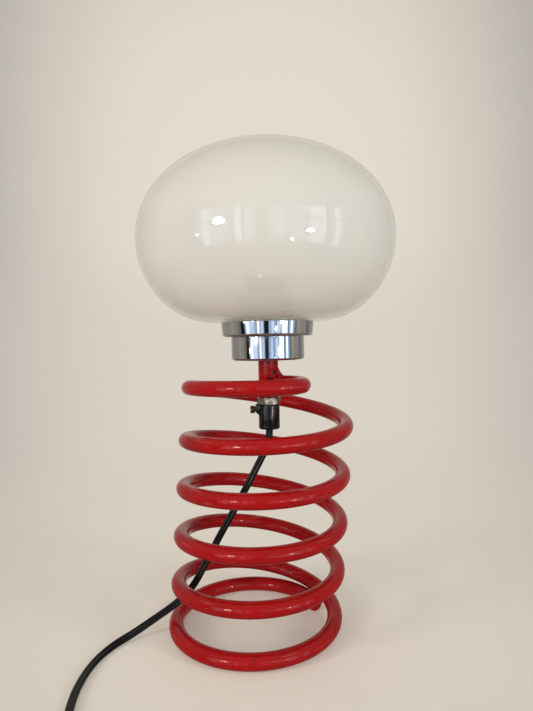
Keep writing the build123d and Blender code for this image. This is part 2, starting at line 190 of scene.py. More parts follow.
def rounded(outline, radius, steps=4):
    """An outline of (radius, height) corners with each corner rounded. A corner may carry its own
    rounding as a third number."""
    points = []
    count = len(outline)
    for i, corner in enumerate(outline):
        here = Vector(corner[:2])
        before = Vector(outline[i - 1][:2])
        after = Vector(outline[(i + 1) % count][:2])
        size = corner[2] if len(corner) > 2 else radius
        a, b = (before - here), (after - here)
        reach = min(size, 0.45 * a.length, 0.45 * b.length)
        start, end = here + a.normalized() * reach, here + b.normalized() * reach
        for step in range(steps + 1):
            t = step / steps
            points.append(start * (1 - t) ** 2 + here * 2 * t * (1 - t) + end * t ** 2)
    return points


def turned(name, outline, body, sides=FINE, sharp=35.0):
    """A closed outline of (radius, height) points, turned about the Z axis."""
    verts = []
    for r, z in outline:
        for s in range(sides):
            a = 2 * pi * s / sides
            verts.append((r * cos(a), r * sin(a), z))
    return piece(name, verts, grid_faces(len(outline), sides, wrap_rows=True), body, sharp)


def frames_along(path, first_side):
    """A side and an up vector at each point of a path, carried along without twisting."""
    side = Vector(first_side)
    result = []
    for i in range(len(path)):
        ahead = path[min(i + 1, len(path) - 1)] - path[max(i - 1, 0)]
        ahead.normalize()
        side = (side - ahead * side.dot(ahead)).normalized()
        result.append((side.copy(), ahead.cross(side)))
    return result


def swept(name, path, section, body, frames, grow=None, sharp=35.0):
    """A section of (side, up) points carried along a path, with flat ends. grow gives the
    section's scale at each point of the path."""
    verts = []
    for i, (here, (side, up)) in enumerate(zip(path, frames)):
        scale = grow[i] if grow else 1.0
        verts += [here + (side * x + up * y) * scale for x, y in section]
    faces = grid_faces(len(path), len(section))
    faces.append(tuple(reversed(range(len(section)))))
    last = len(verts) - len(section)
    faces.append(tuple(range(last, len(verts))))
    return piece(name, verts, faces, body, sharp)


def circle(radius, sides):
    return [(radius * cos(2 * pi * s / sides), radius * sin(2 * pi * s / sides)) for s in range(sides)]


# ---- materials ---------------------------------------------------------------------------
class Surface:
    """A material with one Principled shader, and short ways to add procedural detail to it."""

    def __init__(self, name, colour, roughness, **constants):
        self.material = bpy.data.materials.new(name)
        self.material.use_nodes = True
        self.tree = self.material.node_tree
        self.shader = self.tree.nodes["Principled BSDF"]
        self.place = self.tree.nodes.new("ShaderNodeTexCoord").outputs["Object"]
        self.shader.inputs["Base Color"].default_value = (*colour, 1)
        self.shader.inputs["Roughness"].default_value = roughness
        for socket, value in constants.items():
            self.shader.inputs[socket.replace("_", " ")].default_value = value
        self.normal = None

    def node(self, kind, **settings):
        made = self.tree.nodes.new("ShaderNode" + kind)
        for key, value in settings.items():
            setattr(made, key, value)
        return made

    def link(self, source, target):
        self.tree.links.new(source, target)

    def stretched(self, scale):
        mapping = self.node("Mapping")
        mapping.inputs["Scale"].default_value = scale
        self.link(self.place, mapping.inputs["Vector"])
        return mapping.outputs["Vector"]

    def noise(self, scale, detail=3.0, roughness=0.55, stretch=(1, 1, 1)):
        made = self.node("TexNoise")
        made.inputs["Scale"].default_value = scale
        made.inputs["Detail"].default_value = detail
        made.inputs["Roughness"].default_value = roughness
        self.link(self.stretched(stretch), made.inputs["Vector"])
        return made.outputs["Fac"]

    def ramp(self, value, low, high, out_low=0.0, out_high=1.0, **settings):
        made = self.node("MapRange", **settings)
        made.inputs["From Min"].default_value = low
        made.inputs["From Max"].default_value = high
        made.inputs["To Min"].default_value = out_low
        made.inputs["To Max"].default_value = out_high
        self.link(value, made.inputs["Value"])
        return made.outputs["Result"]

    def mix(self, share, first, second):
        """Colour that goes from first to second as share goes from 0 to 1."""
        made = self.node("Mix", data_type="RGBA")
        self.link(share, made.inputs["Factor"])
        for socket, value in ((made.inputs[6], first), (made.inputs[7], second)):
            if isinstance(value, tuple):
                socket.default_value = (*value, 1)
            else:
                self.link(value, socket)
        return made.outputs[2]

    def colour(self, output):
        self.link(output, self.shader.inputs["Base Color"])

    def roughness(self, output):
        self.link(output, self.shader.inputs["Roughness"])

    def bump(self, height, strength, distance):
        made = self.node("Bump")
        made.inputs["Strength"].default_value = strength
        made.inputs["Distance"].default_value = distance
        self.link(height, made.inputs["Height"])
        if self.normal is not None:
            self.link(self.normal, made.inputs["Normal"])
        self.normal = made.outputs["Normal"]
        self.link(self.normal, self.shader.inputs["Normal"])


def red_paint():
    """Gloss stove paint, a little dusty, with hairline scratches and a few chips, and with painted shade
    darkening the blowhole and the pits of the top weld.
    """
    s = Surface("red_paint", RED, 0.3, Coat_Weight=0.38, Coat_Roughness=0.08, Specular_IOR_Level=0.05)
    cloud = s.noise(28, 4)
    deep = s.mix(s.ramp(cloud, 0.35, 0.7), RED, tuple(c * 0.78 for c in RED))
    dust = s.ramp(s.noise(900, 2), 0.64, 0.76, 0.0, 0.12)
    dusty = s.mix(dust, deep, (0.45, 0.13, 0.11))
    hair = s.noise(260, 1, stretch=(0.12, 0.12, 3.0))
    scratch = s.ramp(hair, 0.70, 0.73, 0.0, 0.25)
    scratched = s.mix(scratch, dusty, (0.50, 0.16, 0.14))
    chips = s.ramp(s.noise(150, 3, 0.7), 0.745, 0.755)
    chipped_and_pit_shade = s.mix(chips, scratched, (0.060, 0.016, 0.012))
    # Near-black spots painted into the blowhole and between the lumps of the top weld are painted shade.
    for x, y, z, size in WELD_PIT_SHADE:
        away = s.node("VectorMath", operation="DISTANCE")
        away.inputs[1].default_value = (x * MM, y * MM, z * MM)
        s.link(s.place, away.inputs[0])
        pit_shade = s.ramp(away.outputs["Value"], size * MM, size * 1.35 * MM, 0.93, 0.0)
        chipped_and_pit_shade = s.mix(pit_shade, chipped_and_pit_shade, (0.020, 0.005, 0.005))
    s.colour(chipped_and_pit_shade)
    s.roughness(s.ramp(s.noise(60, 4), 0.3, 0.7, 0.20, 0.38))
    s.bump(s.noise(240, 2), 0.10, 0.0004)
    s.bump(chips, -0.4, 0.0002)
    return s.material


def chrome():
    """Plated steel, old enough to have fine pits and a faint haze."""
    s = Surface("chrome", (0.62, 0.62, 0.63), 0.06, Metallic=1.0)
    haze = s.noise(90, 5)
    pits = s.ramp(s.noise(1400, 1), 0.70, 0.74)
    s.colour(s.mix(pits, s.mix(s.ramp(haze, 0.4, 0.7), (0.66, 0.66, 0.68), (0.55, 0.55, 0.54)),
                   (0.20, 0.18, 0.15)))
    s.roughness(s.ramp(haze, 0.3, 0.7, 0.035, 0.13))
    s.bump(s.noise(35, 2), 0.06, 0.0006)
    return s.material


def zinc():
    s = Surface("zinc", (0.42, 0.38, 0.30), 0.35, Metallic=1.0)
    stain = s.noise(220, 4)
    s.colour(s.mix(s.ramp(stain, 0.35, 0.7), (0.40, 0.36, 0.29), (0.17, 0.14, 0.10)))
    s.roughness(s.ramp(stain, 0.3, 0.7, 0.25, 0.5))
    s.bump(s.noise(900, 2), 0.2, 0.0001)
    return s.material


def milk_glass():
    """Blown opal glass: a glossy skin over a misty body that passes and scatters light. Its colour is painted
    lighter towards the foot and darker towards the top, as painted light and shade.
    """
    s = Surface("milk_glass", MILK, 0.02, Coat_Weight=1.0, Coat_Roughness=0.01)
    s.shader.inputs["IOR"].default_value = 1.65
    s.shader.inputs["Coat IOR"].default_value = 1.7
    cloud = s.noise(14, 3)
    milky = s.mix(s.ramp(cloud, 0.35, 0.65), MILK, tuple(c * 0.97 for c in MILK))
    height = s.node("SeparateXYZ")
    s.link(s.place, height.inputs["Vector"])
    # Painted light and shade: the glass is painted lighter towards the foot, where it faces down into shade,
    # and painted darker at the top.
    foot = s.ramp(height.outputs["Z"], 203 * MM, 262 * MM)
    shaded_top = s.ramp(height.outputs["Z"], 270 * MM, 318 * MM)
    body = s.mix(foot, (0.96, 0.93, 0.90), milky)
    s.colour(s.mix(shaded_top, body, (0.84, 0.83, 0.74)))
    s.bump(s.noise(24, 3), 0.025, 0.002)
    glow = s.node("BsdfTranslucent")
    glow.inputs["Color"].default_value = (0.97, 0.96, 0.93, 1)
    clear = s.node("BsdfTransparent")
    clear.inputs["Color"].default_value = (0.98, 0.98, 0.96, 1)
    scatter = s.node("MixShader")
    scatter.inputs["Fac"].default_value = 0.35
    s.link(s.shader.outputs["BSDF"], scatter.inputs[1])
    s.link(glow.outputs["BSDF"], scatter.inputs[2])
    mist = s.node("MixShader")
    mist.inputs["Fac"].default_value = 0.42
    s.link(scatter.outputs["Shader"], mist.inputs[1])
    s.link(clear.outputs["BSDF"], mist.inputs[2])
    s.link(mist.outputs["Shader"], s.tree.nodes["Material Output"].inputs["Surface"])
    return s.material


def plain(name, colour, roughness, grain=400, spread=0.25, depth=0.00008, **constants):
    """A moulded or machined surface: its colour and gloss vary a little over a fine grain."""
    s = Surface(name, colour, roughness, **constants)
    cloud = s.noise(grain / 6, 4)
    darker = tuple(c * (1 - spread) for c in colour)
    s.colour(s.mix(s.ramp(cloud, 0.35, 0.7), colour, darker))
    s.roughness(s.ramp(cloud, 0.3, 0.7, roughness * 0.8, min(1.0, roughness * 1.3)))
    s.bump(s.noise(grain, 3), 0.25, depth)
    return s.material


def pin_metal():
    """Nickel-plated pins whose inner half has a black sleeve."""
    s = Surface("pin_metal", (0.70, 0.68, 0.62), 0.2)
    low, high = (Vector(corner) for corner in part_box("plug_pin_left"))
    heading = Vector((cos(radians(PLUG_HEADING)), sin(radians(PLUG_HEADING)), 0))
    along = s.node("VectorMath", operation="DOT_PRODUCT")
    along.inputs[1].default_value = heading
    s.link(s.place, along.inputs[0])
    sleeve_end = (low + high).dot(heading) / 2 + 5.0 * MM
    bare = s.ramp(along.outputs["Value"], sleeve_end, sleeve_end + 0.2 * MM)
    s.colour(s.mix(bare, (0.012, 0.012, 0.013), (0.70, 0.68, 0.62)))
    s.link(bare, s.shader.inputs["Metallic"])
    s.roughness(s.ramp(s.noise(300, 3), 0.3, 0.7, 0.2, 0.4))
    return s.material


def cloth():
    s = Surface("strap_cloth", (0.010, 0.010, 0.011), 0.9, Specular_IOR_Level=0.2)
    weave = s.node("TexWave", wave_type="BANDS", bands_direction="DIAGONAL")
    weave.inputs["Scale"].default_value = 700
    s.link(s.place, weave.inputs["Vector"])
    s.colour(s.mix(weave.outputs["Fac"], (0.007, 0.007, 0.008), (0.020, 0.020, 0.022)))
    s.bump(weave.outputs["Fac"], 0.5, 0.0002)
    return s.material


def paint(obj, material):
    """Gives every slot of an object one material."""
    if not obj.data.materials:
        obj.data.materials.append(material)
    for slot in obj.material_slots:
        slot.material = material


# ---- the red bar, its welds and the post ---------------------------------------------------
def level_out(height):
    """Height, eased so that it comes down onto zero and stays there."""
    if height >= EASE:
        return height
    if height <= -EASE:
        return 0.0
    return (height + EASE) ** 2 / (4 * EASE)


def bar_point(turn):
    """Middle of the bar. Turn 0 is the front of the top loop, and the bar winds down clockwise
    as seen from above."""
    angle = radians(-90 - 360 * turn)
    slope = TOP_PITCH if turn < 1 else PITCH
    rise = LOW_FRONT + 3 * PITCH + (1 - turn) * slope - COIL_R * sin(LEAN) * cos(angle)
    rise = LOOP_RISE - level_out(LOOP_RISE - level_out(rise))
    opened = sin(min(1.0, turn / 0.25) * pi / 2)
    radius = 2 * LOOP_R + (COIL_R - 2 * LOOP_R) * opened
    radius -= TUCK * max(0.0, (turn - 5.3) / (TAIL_TURN - 5.3)) ** 2
    middle = (rise - LOOP_RISE) * tan(LEAN)
    return Vector((middle + radius * cos(angle), radius * sin(angle), BAR_R + rise))


def bar_path():
    """The U bend at the post, then the coil and the foot ring."""
    top = BAR_R + LOOP_RISE
    bend = []
    for step in range(36):
        angle = pi / 2 - pi * step / 36
        bend.append(Vector((LOOP_R * cos(angle), LOOP_R * sin(angle) - LOOP_R, top)))
    count = round(TAIL_TURN * 90)
    return bend + [bar_point(TAIL_TURN * step / count) for step in range(count + 1)]


def coil_base(material):
    """The bent bar, whose lower end is rounded off."""
    path = bar_path()
    end = path[-1]
    ahead = (end - path[-2]).normalized()
    grow = [1.0] * len(path)
    corner = 1.6 * MM
    for step in range(1, 7):
        a = pi / 2 * step / 6
        path.append(end + ahead * corner * sin(a))
        grow.append(1 - corner / BAR_R * (1 - cos(a)))
    frames = frames_along(path, (0, 0, 1))
    bar = swept("coil_bar", path, circle(BAR_R, 40), "lamp", frames, grow)
    paint(bar, material)
    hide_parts("coil_base")


def melted(name, balls, voxel, body, passes=6):
    """Melts a heap of balls into one smooth lump, as brazing metal runs."""
    verts, faces = [], []
    rings, sides = 12, 20
    for centre, size in balls:
        base = len(verts)
        for r in range(rings + 1):
            a = pi * r / rings
            for s in range(sides):
                b = 2 * pi * s / sides
                verts.append((centre[0] + size[0] * sin(a) * cos(b),
                              centre[1] + size[1] * sin(a) * sin(b), centre[2] + size[2] * cos(a)))
        faces += [tuple(base + i for i in face) for face in grid_faces(rings + 1, sides)]
    lump = piece(name, verts, faces, body)
    remesh = lump.modifiers.new("melt", "REMESH")
    remesh.mode = "VOXEL"
    remesh.voxel_size = voxel
    smooth = lump.modifiers.new("run", "SMOOTH")
    smooth.factor = 0.5
    smooth.iterations = passes
    view = bpy.context.evaluated_depsgraph_get()
    finished = bpy.data.meshes.new_from_object(lump.evaluated_get(view))
    lump.modifiers.clear()
    lump.data = finished
    finished.shade_smooth()
    return lump


def top_weld(material):
    """The brazed joint of bar and post: a collar round the bar, a concave web above it, and the
    rim of a blowhole on the front of the post."""
    draw = random.Random(4)
    level = BAR_R + LOOP_RISE
    balls = []

    def drop(x, y, z, size, spread=0.0):
        x, y, z = (v * MM + draw.uniform(-spread, spread) * MM for v in (x, y, z))
        balls.append(((x, y, level + z), (size * MM, size * MM, size * MM)))

    for step in range(30):
        a = 2 * pi * step / 30
        y, z = 4.9 * cos(a), 4.9 * sin(a)
        drop(sqrt(max(0.0, 6.7 ** 2 - y ** 2)) + 0.4, y - 0.7, z, draw.uniform(1.2, 1.7))
    for step in range(12):
        t = step / 11
        for y in (-3.0, -1.5, 0.0, 1.5):
            drop(5.4 + 6.6 * t, y - 1.2 * t, 3.0 + 6.0 * (1 - t) ** 2.2, 1.7 - 0.5 * t, 0.15)
            drop(5.6 + 5.0 * t, y, 2.6 + 3.0 * (1 - t) ** 2, 1.8)
    for step in range(16):
        a = 2 * pi * step / 16
        x, z = 3.6 + 2.3 * cos(a), 7.2 + 2.2 * sin(a)
        drop(x, -sqrt(6.7 ** 2 - min(x, 6.6) ** 2) - 0.3, z, draw.uniform(0.8, 1.15))
    for x, z, size in ((-1.2, 4.2, 0.9), (0.4, 4.7, 1.0), (2.6, 4.4, 1.2), (4.6, 3.2, 1.4), (3.4, 1.0, 1.2)):
        drop(x, -sqrt(6.7 ** 2 - x ** 2) - 0.2, z, size)
    weld = melted("top_fillet", balls, 0.30 * MM, "lamp", 4)
    paint(weld, material)
    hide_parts("top_weld")


def foot_weld(material):
    """A short run of metal between the bar's end and the turn above it."""
    draw = random.Random(7)
    balls = []
    for step in range(9):
        turn = TAIL_TURN - 0.045 + 0.004 * step
        end, above = bar_point(turn), bar_point(turn - 1)
        size = draw.uniform(2.4, 3.1) * MM
        balls.append((end + (above - end) * 0.5, (size, size, size)))
    weld = melted("foot_bead", balls, 0.35 * MM, "lamp")
    paint(weld, material)
    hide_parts("foot_weld")


def post(material):
    low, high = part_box("post_sleeve")
    outline = [(BORE, low[2]), (POST_R, low[2]), (POST_R, high[2]), (BORE, high[2])]
    sleeve = turned("post", rounded(outline, 0.5 * MM), "lamp")
    paint(sleeve, material)
    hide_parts("post_sleeve")


# ---- chrome cups ---------------------------------------------------------------------------
def chrome_cups(material):
    """Two pressed cups with the soft edges of drawn sheet. The upper one opens out a little."""
    sheet = 1.0 * MM
    low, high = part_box("chrome_cup")
    r, foot, top = high[0], low[2], high[2]
    outline = [(BORE, foot, 0.1 * MM), (r, foot, 1.9 * MM), (r, top, 0.25 * MM),
               (r - sheet, top, 0.25 * MM), (r - sheet, foot + sheet, 1.0 * MM),
               (BORE, foot + sheet, 0.1 * MM)]
    cup = turned("lower_cup", rounded(outline, 0.2 * MM, 6), "lamp", sides=160)
    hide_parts("chrome_cup")
    low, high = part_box("gallery_ring")
    r, foot, top = high[0], low[2], high[2]
    wall = r - 0.6 * MM
    outline = [(BORE, foot, 0.1 * MM), (wall - 0.3 * MM, foot, 1.9 * MM),
               (r - 0.15 * MM, top - 2.2 * MM, 0.9 * MM),
               (r, top, 1.1 * MM), (r - 1.5 * MM, top, 0.5 * MM), (wall - sheet, top - 1.8 * MM, 0.6 * MM),
               (wall - sheet, foot + sheet, 1.0 * MM), (BORE, foot + sheet, 0.1 * MM)]
    ring = turned("gallery", rounded(outline, 0.2 * MM, 6), "lamp", sides=160)
    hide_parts("gallery_ring")
    for made in (cup, ring):
        paint(made, material)


# ---- globe ---------------------------------------------------------------------------------
def globe_side(inset, foot, steps=130):
    """One face of the glass, as (radius, height) from the neck's foot to the top."""
    def place(angle):
        out = sum(term * (sin if k % 2 else cos)(k * angle) for k, term in enumerate(GLOBE_TERMS)) - inset
        return out * cos(angle), GLOBE_CENTRE + out * sin(angle)

    neck_r = NECK_R - inset
    lowest = radians(-75)
    while place(lowest)[0] < neck_r:
        lowest += 0.001
    curve = [place(lowest + (pi / 2 - lowest) * step / steps) for step in range(steps + 1)]
    curve[-1] = (0.02 * MM, curve[-1][1])
    corner = 1.2 * MM
    neck_top = curve[0][1]
    neck = [(neck_r, foot + (neck_top - corner - foot) * step / 5) for step in range(6)]
    return neck + [(neck_r + corner * 0.25, neck_top - corner * 0.35)] + curve[1:]


def globe(material):
    """Blown glass shell with a straight neck."""
    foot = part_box("globe")[0][2]
    outer = globe_side(0, foot)
    inner = globe_side(GLASS, foot)
    shell = turned("glass_globe", outer + list(reversed(inner)), "globe", sides=192, sharp=60)
    paint(shell, material)
    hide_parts("globe")


# ---- cord grip -----------------------------------------------------------------------------
def cord_grip(material):
    """Moulded grip: a turned body with a boss that runs into it, and a hole for the cord."""
    low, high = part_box("grip_body")
    foot, top = low[2], high[2]
    outline = [(2.6 * MM, foot, 0.4 * MM), (6.6 * MM, foot, 0.6 * MM),
               (GRIP_R + 0.15 * MM, foot + 1.0 * MM, 0.6 * MM),
               (GRIP_R, foot + 2.4 * MM, 0.5 * MM), (GRIP_R, top, 0.9 * MM), (BORE, top, 0.3 * MM),
               (BORE, foot + 9.2 * MM, 0.2 * MM), (2.6 * MM, foot + 9.2 * MM, 0.2 * MM)]
    body = turned("grip_barrel", rounded(outline, 0.4 * MM), "lamp")
    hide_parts("grip_body")
    boss = bmesh.new()
    left, right = low[0], -5.6 * MM
    half = 4.0 * MM
    side = [(left, top), (left, top - 5.1 * MM), (-GRIP_R + 0.6 * MM, top - 7.6 * MM),
            (right, top - 7.6 * MM), (right, top)]
    rims = [[boss.verts.new((x, y, z)) for x, z in side] for y in (-half, half)]
    boss.faces.new(rims[0])
    boss.faces.new(list(reversed(rims[1])))
    for i in range(len(side)):
        j = (i + 1) % len(side)
        boss.faces.new((rims[0][j], rims[0][i], rims[1][i], rims[1][j]))
    edges = [e for e in boss.edges if min(v.co.x for v in e.verts) < right - MM]
    bmesh.ops.bevel(boss, geom=edges, offset=1.1 * MM, segments=5, profile=0.5, affect="EDGES")
    bmesh.ops.recalc_face_normals(boss, faces=boss.faces)
    lug = piece("grip_boss", [], [], "lamp")
    boss.to_mesh(lug.data)
    boss.free()
    lug.data.shade_smooth()
    for made in (body, lug):
        paint(made, material)


# ---- the cord and what is on it ------------------------------------------------------------
def coil_points(points_per_turn=16):
    """Control points of the put-away turns: three turns side by side, three on them and two on
    top. They are wound in on the bottom layer, out on the next and in on the top one, from where
    the cord's end climbs over the turns and leaves."""
    slots = [(1, 0), (0, 0), (-1, 0), (-1, 1), (0, 1), (1, 1), (1, 2), (0, 2), (0, 2), (0, 2)]
    first, last = radians(203.5), radians(284.8)
    sweep = 8 * 2 * pi + last - first
    draw = random.Random(11)
    points = []
    count = round(sweep / (2 * pi) * points_per_turn)
    for step in range(1, count):
        turn = sweep * step / count / (2 * pi)
        whole = int(turn)
        share = min(1.0, max(0.0, (turn - whole - 0.72) / 0.28))
        share = share * share * (3 - 2 * share)
        (column, layer), (column2, layer2) = slots[whole], slots[whole + 1]
        column += (column2 - column) * share
        layer += (layer2 - layer) * share
        climb = max(0.0, (turn - 8.08) / 0.146)
        sink = max(0.0, 1 - turn / 0.22) ** 2
        angle = first + 2 * pi * turn
        lifted = max(0.0, 1 - abs((degrees(angle) % 360) - 90) / 34) ** 0.5
        r = COIL_TURN_R + column * (CORD + 0.1 * MM) + draw.uniform(-0.22, 0.22) * MM
        r += climb * 4.4 * MM + sink * 1.6 * MM
        r /= cos(pi / points_per_turn) ** 0.5
        z = LYING + layer * 2.8 * MM + lifted * 1.05 * MM + sink * 3.6 * MM + min(climb, 1.0) * 2.8 * MM
        points.append((COIL_AT[0] + r * cos(angle), COIL_AT[1] + r * sin(angle), z))
    return points


def spline_line(name, points):
    """The smooth line of a cord: a NURBS spline with the route's points as control points."""
    curve = bpy.data.curves.new(name, "CURVE")
    curve.dimensions = "3D"
    spline = curve.splines.new("NURBS")
    spline.points.add(len(points) - 1)
    for control, place in zip(spline.points, points):
        control.co = (*place, 1)
    spline.order_u = 3
    spline.use_endpoint_u = True
    spline.resolution_u = 8
    obj = bpy.data.objects.new(name, curve)
    line = bpy.data.meshes.new_from_object(obj)
    places = [v.co.copy() for v in line.vertices]
    for spare, kept_in in ((obj, bpy.data.objects), (curve, bpy.data.curves), (line, bpy.data.meshes)):
        kept_in.remove(spare)
    return places


def twin_section(steps=12):
    """Outline of a twin cord: two round cores side by side, with a groove between them."""
    r = CORD_THICK / 2
    offset = CORD / 2 - r
    meet = acos(-offset / r)
    points = []
    for side in (1, -1):
        for step in range(steps + 1):
            a = -meet * 0.97 + 2 * meet * 0.97 * step / steps
            points.append((side * (offset + r * cos(a)), side * r * sin(a)))
    return points


def cord_frames(path):
    """The cord hangs with its broad face to the front and lies flat on the floor."""
    frames = []
    run = 0.0
    for i, here in enumerate(path):
        if i:
            run += (here - path[i - 1]).length
        ahead = (path[min(i + 1, len(path) - 1)] - path[max(i - 1, 0)]).normalized()
        share = min(1.0, max(0.0, (run - TWIST_FROM) / (TWIST_TO - TWIST_FROM)))
        share = share * share * (3 - 2 * share)
        up = Vector((0, -1, 0)) * (1 - share) + Vector((0, 0, 1)) * share
        up = (up - ahead * up.dot(ahead)).normalized()
        frames.append((ahead.cross(up) * -1, up))
    return frames


def cord(material):
    points = [(x * MM, y * MM, z * MM) for x, y, z in RUN_POINTS]
    points += [(x * MM, y * MM, z * MM) for x, y, z in MID_POINTS]
    points += coil_points()
    points += [(x * MM, y * MM, z * MM) for x, y, z in TAIL_POINTS]
    path = spline_line("cord_line", points)
    lead = swept("cord", path, twin_section(), "lamp", cord_frames(path), sharp=50)
    paint(lead, material)
    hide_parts("cord_run", "cord_mid", "cord_coil", "cord_tail")


def cord_tie(material):
    """Hook-and-loop strap round the turns, with its loose end lapped over the top."""
    low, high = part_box("cord_tie")
    middle_y, middle_z = (low[1] + high[1]) / 2, (low[2] + high[2]) / 2
    half_y, half_z = (high[1] - low[1]) / 2, (high[2] - low[2]) / 2
    corner = 3.4 * MM
    thick = 0.9 * MM
    loop = []
    for cy, cz, start in ((1, 1, 0), (-1, 1, 90), (-1, -1, 180), (1, -1, 270)):
        for step in range(9):
            a = radians(start + 90 * step / 8)
            loop.append((cy * (half_y - corner) + corner * cos(a), cz * (half_z - corner) + corner * sin(a),
                         cos(a), sin(a)))
    lapped = 14         # points that the loose end covers a second time
    strap = loop + loop[:lapped]
    half = (high[0] - low[0]) / 2
    middle_x = (low[0] + high[0]) / 2
    verts = []
    for i, (y, z, ny, nz) in enumerate(strap):
        start = min(1.0, max(0.0, (i - len(loop) + 3) / 3))
        out = start * thick * 0.95
        for dx, depth in ((-half, -thick), (half, -thick), (half, 0.0), (-half, 0.0)):
            d = depth + out
            verts.append((middle_x + dx, middle_y + y + ny * d, middle_z + z + nz * d))
    faces = grid_faces(len(strap), 4)
    faces += [(3, 2, 1, 0), tuple(len(verts) - 4 + i for i in range(4))]
    tie = piece("strap", verts, faces, "lamp", sharp=40)
    bevel = tie.modifiers.new("edge", "BEVEL")
    bevel.width = 0.15 * MM
    bevel.segments = 2
    paint(tie, material)
    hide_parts("cord_tie")
    return tie


def plug_relief(material):
    """Tapered sleeve with rounded rings, moulded onto the cord behind the plug."""
    tip, root, long = 2.9 * MM, 4.0 * MM, 22.0 * MM
    outline = [(0.02 * MM, 0.0), (tip, 0.0, 0.6 * MM)]
    for step in range(4):
        z = (4.5 * step + 3) * MM
        outer = tip + (root - tip) * z / long
        for dr, dz in ((0, 0), (-0.7, 0.5), (-0.7, 1.7), (0, 2.2)):
            outline.append((outer + dr * MM, z + dz * MM, 0.35 * MM))
    outline += [(root, long, 0.2 * MM), (0.02 * MM, long)]
    sleeve = turned("plug_sleeve", rounded(outline, 0.05 * MM), "lamp", sides=48)
    flatten = Matrix.Diagonal((0.92, 1.0, 1.0, 1.0))
    turn = Matrix.Rotation(radians(PLUG_HEADING), 4, "Z") @ Matrix.Rotation(pi / 2, 4, "Y")
    sleeve.data.transform(Matrix.Translation(Vector(TAIL_POINTS[-1]) * MM) @ turn @ flatten)
    paint(sleeve, material)
    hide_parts("plug_relief")
    return sleeve


# ---- floor, light and camera ---------------------------------------------------------------
def floor():
    """A wide pale floor that fades into the backdrop's colour away from the lamp. Some of that glow reaches
    right under the lamp, as painted light in its shadow.
    """
    sides = 128
    reach = 6.0
    rim = [(reach * cos(2 * pi * s / sides), reach * sin(2 * pi * s / sides), 0) for s in range(sides)]
    faces = [(0, 1 + s, 1 + (s + 1) % sides) for s in range(sides)]
    mesh = bpy.data.meshes.new("floor")
    mesh.from_pydata([(0, 0, 0)] + rim, [], faces)
    ground = bpy.data.objects.new("floor", mesh)
    bpy.context.scene.collection.objects.link(ground)
    ground.visible_glossy = False
    ground.visible_diffuse = False
    s = Surface("floor_paint", FLOOR_COLOUR, 0.75, Specular_IOR_Level=0.2)
    darker = tuple(c * 0.96 for c in FLOOR_COLOUR)
    s.colour(s.mix(s.ramp(s.noise(3, 4), 0.3, 0.7), FLOOR_COLOUR, darker))
    s.bump(s.noise(300, 3), 0.05, 0.0003)
    away = s.node("VectorMath", operation="LENGTH")
    s.link(s.place, away.inputs[0])
    from_eye = s.node("VectorMath", operation="SUBTRACT")
    s.link(s.place, from_eye.inputs[0])
    from_eye.inputs[1].default_value = (0, -CAMERA_DISTANCE, 0)
    heading = s.node("VectorMath", operation="NORMALIZE")
    s.link(from_eye.outputs["Vector"], heading.inputs[0])
    across = s.node("SeparateXYZ")
    s.link(heading.outputs["Vector"], across.inputs["Vector"])
    shade = s.ramp(across.outputs["Y"], SIDE_START, SIDE_END, interpolation_type="SMOOTHSTEP")
    backdrop = s.node("Emission")
    s.link(s.mix(shade, HORIZON, tuple(a * b for a, b in zip(HORIZON, SIDE_SHADE))), backdrop.inputs["Color"])
    blend = s.node("MixShader")
    fade = s.ramp(away.outputs["Value"], FADE_START, FADE_END, interpolation_type="SMOOTHSTEP")
    s.link(fade, blend.inputs["Fac"])
    s.link(s.shader.outputs["BSDF"], blend.inputs[1])
    s.link(backdrop.outputs["Emission"], blend.inputs[2])
    s.link(blend.outputs["Shader"], s.tree.nodes["Material Output"].inputs["Surface"])
    paint(ground, s.material)


